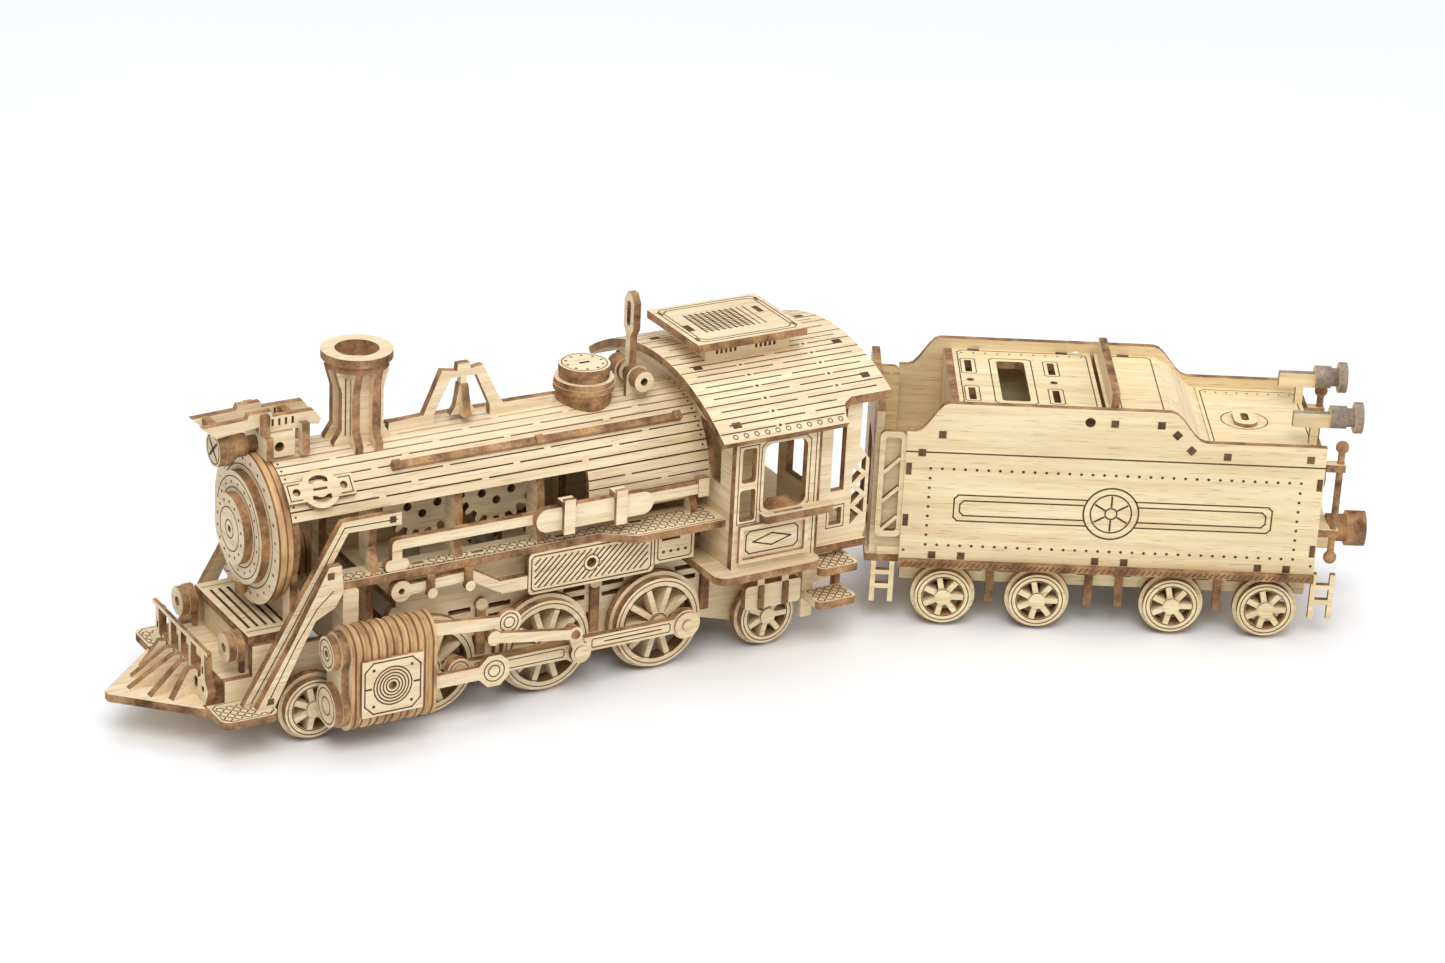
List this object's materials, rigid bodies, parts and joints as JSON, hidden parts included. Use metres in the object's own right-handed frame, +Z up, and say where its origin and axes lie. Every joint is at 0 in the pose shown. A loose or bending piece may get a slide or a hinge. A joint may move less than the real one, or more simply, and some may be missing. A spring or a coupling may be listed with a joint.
{
  "type": "wooden steam locomotive model",
  "caption": "Laser-cut plywood steam locomotive and tender puzzle model with turning wheels, rods and gears and a swinging coupling.",
  "frame": {"origin": "centre of the train's footprint, on the surface that the wheel flanges stand on", "axes": "+X along the locomotive towards the tender, +Y across it, +Z up"},
  "size_m": [0.3242, 0.1156, 0.0916],
  "materials": {
    "birch_ply": "pale sanded plywood with scorched laser-cut edges",
    "birch_edge": "stacked plywood, mostly scorched cut edges",
    "birch_tread": "pale plywood with an engraved tread pattern",
    "spring_steel": "plain spring steel"
  },
  "bodies": {
    "locomotive": {"frame_plates": "birch_ply", "frame_spacers": "birch_ply", "pilot_plate": "birch_ply", "buffer_beam": "birch_ply", "pilot_deck": "birch_ply", "marker_lamps": "birch_edge", "step_plates": "birch_tread", "front_braces": "birch_ply", "smokebox_ring": "birch_edge", "smokebox_door": "birch_ply", "headlamp": "birch_ply", "headlamp_visor": "birch_ply", "boiler_formers": "birch_ply", "boiler_wrap": "birch_ply", "boiler_rails": "birch_edge", "badges": "birch_ply", "chimney": "birch_ply", "bell_frame": "birch_ply", "bell": "birch_ply", "dome": "birch_ply", "running_boards": "birch_tread", "air_tanks": "birch_ply", "lower_pipes": "birch_ply", "side_panels": "birch_ply", "cylinder_blocks": "birch_edge", "cylinder_covers": "birch_ply", "valve_links": "birch_ply", "cab_floor": "birch_ply", "cab_front": "birch_ply", "cab_sides": "birch_ply", "cab_posts": "birch_ply", "cab_roof": "birch_ply", "roof_hatch": "birch_ply", "armrests": "birch_ply", "cab_steps": "birch_tread", "spring_boxes": "birch_ply", "spring_barrel": "spring_steel"},
    "control_lever": {"control_lever": "birch_ply"},
    "pilot_wheelset": {"pilot_wheels": "birch_ply"},
    "driving_axle_1": {"driver_wheels_1": "birch_ply"},
    "driving_axle_2": {"driver_wheels_2": "birch_ply"},
    "driving_axle_3": {"driver_wheels_3": "birch_ply"},
    "trailing_wheelset": {"trailing_wheels": "birch_ply"},
    "rods": {"connecting_rods": "birch_ply"},
    "eccentric_rods": {"eccentric_rods": "birch_ply"},
    "crossheads": {"crossheads": "birch_ply"},
    "front_gear": {"gear_front": "birch_ply"},
    "rear_gear": {"gear_rear": "birch_ply"},
    "idler_gear": {"gear_idler": "birch_ply"},
    "tender": {"tender_frame": "birch_ply", "tender_sides": "birch_ply", "tender_decks": "birch_ply", "tender_bulkheads": "birch_ply", "tender_ladders": "birch_ply", "tender_lamps": "birch_ply", "tender_coupler": "birch_ply"},
    "tender_wheelset_1": {"tender_wheels_1": "birch_ply"},
    "tender_wheelset_2": {"tender_wheels_2": "birch_ply"},
    "tender_wheelset_3": {"tender_wheels_3": "birch_ply"},
    "tender_wheelset_4": {"tender_wheels_4": "birch_ply"}
  },
  "joints": [
    {"name": "pilot_wheel_roll", "type": "hinge", "parent": "locomotive", "child": "pilot_wheelset", "pos_m": [-0.11896, 0.02177, 0.0085], "axis": [0, 1, 0], "continuous": true},
    {"name": "driver_2_turn", "type": "hinge", "parent": "locomotive", "child": "driving_axle_2", "pos_m": [-0.05746, 0.02177, 0.0128], "axis": [0, 1, 0], "continuous": true},
    {"name": "driver_1_turn", "type": "hinge", "parent": "locomotive", "child": "driving_axle_1", "pos_m": [-0.08866, 0.02177, 0.0128], "axis": [0, 1, 0], "continuous": true},
    {"name": "driver_3_turn", "type": "hinge", "parent": "locomotive", "child": "driving_axle_3", "pos_m": [-0.02626, 0.02177, 0.0128], "axis": [0, 1, 0], "continuous": true},
    {"name": "trailing_wheel_roll", "type": "hinge", "parent": "locomotive", "child": "trailing_wheelset", "pos_m": [0.00524, 0.02177, 0.0085], "axis": [0, 1, 0], "continuous": true},
    {"name": "rod_pin_turn", "type": "hinge", "parent": "driving_axle_2", "child": "rods", "pos_m": [-0.05166, 0.02177, 0.0128], "axis": [0, 1, 0], "continuous": true},
    {"name": "eccentric_pin_turn", "type": "hinge", "parent": "driving_axle_2", "child": "eccentric_rods", "pos_m": [-0.05426, 0.02177, 0.019], "axis": [0, 1, 0], "continuous": true},
    {"name": "crosshead_slide", "type": "slide", "parent": "locomotive", "child": "crossheads", "axis": [1, 0, 0], "range_m": [-0.0116, 0]},
    {"name": "front_gear_turn", "type": "hinge", "parent": "locomotive", "child": "front_gear", "pos_m": [-0.08366, 0.02177, 0.0508], "axis": [0, 1, 0], "continuous": true},
    {"name": "rear_gear_turn", "type": "hinge", "parent": "locomotive", "child": "rear_gear", "pos_m": [-0.06376, 0.02177, 0.0508], "axis": [0, 1, 0], "continuous": true},
    {"name": "idler_gear_turn", "type": "hinge", "parent": "locomotive", "child": "idler_gear", "pos_m": [-0.05393, 0.02177, 0.0335], "axis": [0, 1, 0], "continuous": true},
    {"name": "control_lever_swing", "type": "hinge", "parent": "locomotive", "child": "control_lever", "pos_m": [-0.02406, 0.02177, 0.0706], "axis": [0, 1, 0], "range_deg": [-15, 15]},
    {"name": "tender_coupling_swing", "type": "hinge", "parent": "locomotive", "child": "tender", "pos_m": [0.04354, 0.02177, 0.02], "axis": [0, 0, 1], "range_deg": [-5, 64]},
    {"name": "tender_wheel_1_roll", "type": "hinge", "parent": "tender", "child": "tender_wheelset_1", "pos_m": [0.06369, 0.01027, 0.0082], "axis": [0.4955, 0.8686, 0], "continuous": true},
    {"name": "tender_wheel_2_roll", "type": "hinge", "parent": "tender", "child": "tender_wheelset_2", "pos_m": [0.08463, -0.00167, 0.0082], "axis": [0.4955, 0.8686, 0], "continuous": true},
    {"name": "tender_wheel_3_roll", "type": "hinge", "parent": "tender", "child": "tender_wheelset_3", "pos_m": [0.11451, -0.01871, 0.0082], "axis": [0.4955, 0.8686, 0], "continuous": true},
    {"name": "tender_wheel_4_roll", "type": "hinge", "parent": "tender", "child": "tender_wheelset_4", "pos_m": [0.13544, -0.03065, 0.0082], "axis": [0.4955, 0.8686, 0], "continuous": true}
  ],
  "couplings": [
    {"joint": "driver_1_turn", "follows": "driver_2_turn", "ratio": 1},
    {"joint": "driver_3_turn", "follows": "driver_2_turn", "ratio": 1},
    {"joint": "rod_pin_turn", "follows": "driver_2_turn", "ratio": -1},
    {"joint": "eccentric_pin_turn", "follows": "driver_2_turn", "ratio": -1},
    {"joint": "idler_gear_turn", "follows": "driver_2_turn", "ratio": -1.1111},
    {"joint": "rear_gear_turn", "follows": "driver_2_turn", "ratio": 1.1111},
    {"joint": "front_gear_turn", "follows": "driver_2_turn", "ratio": -1.1111}
  ]
}
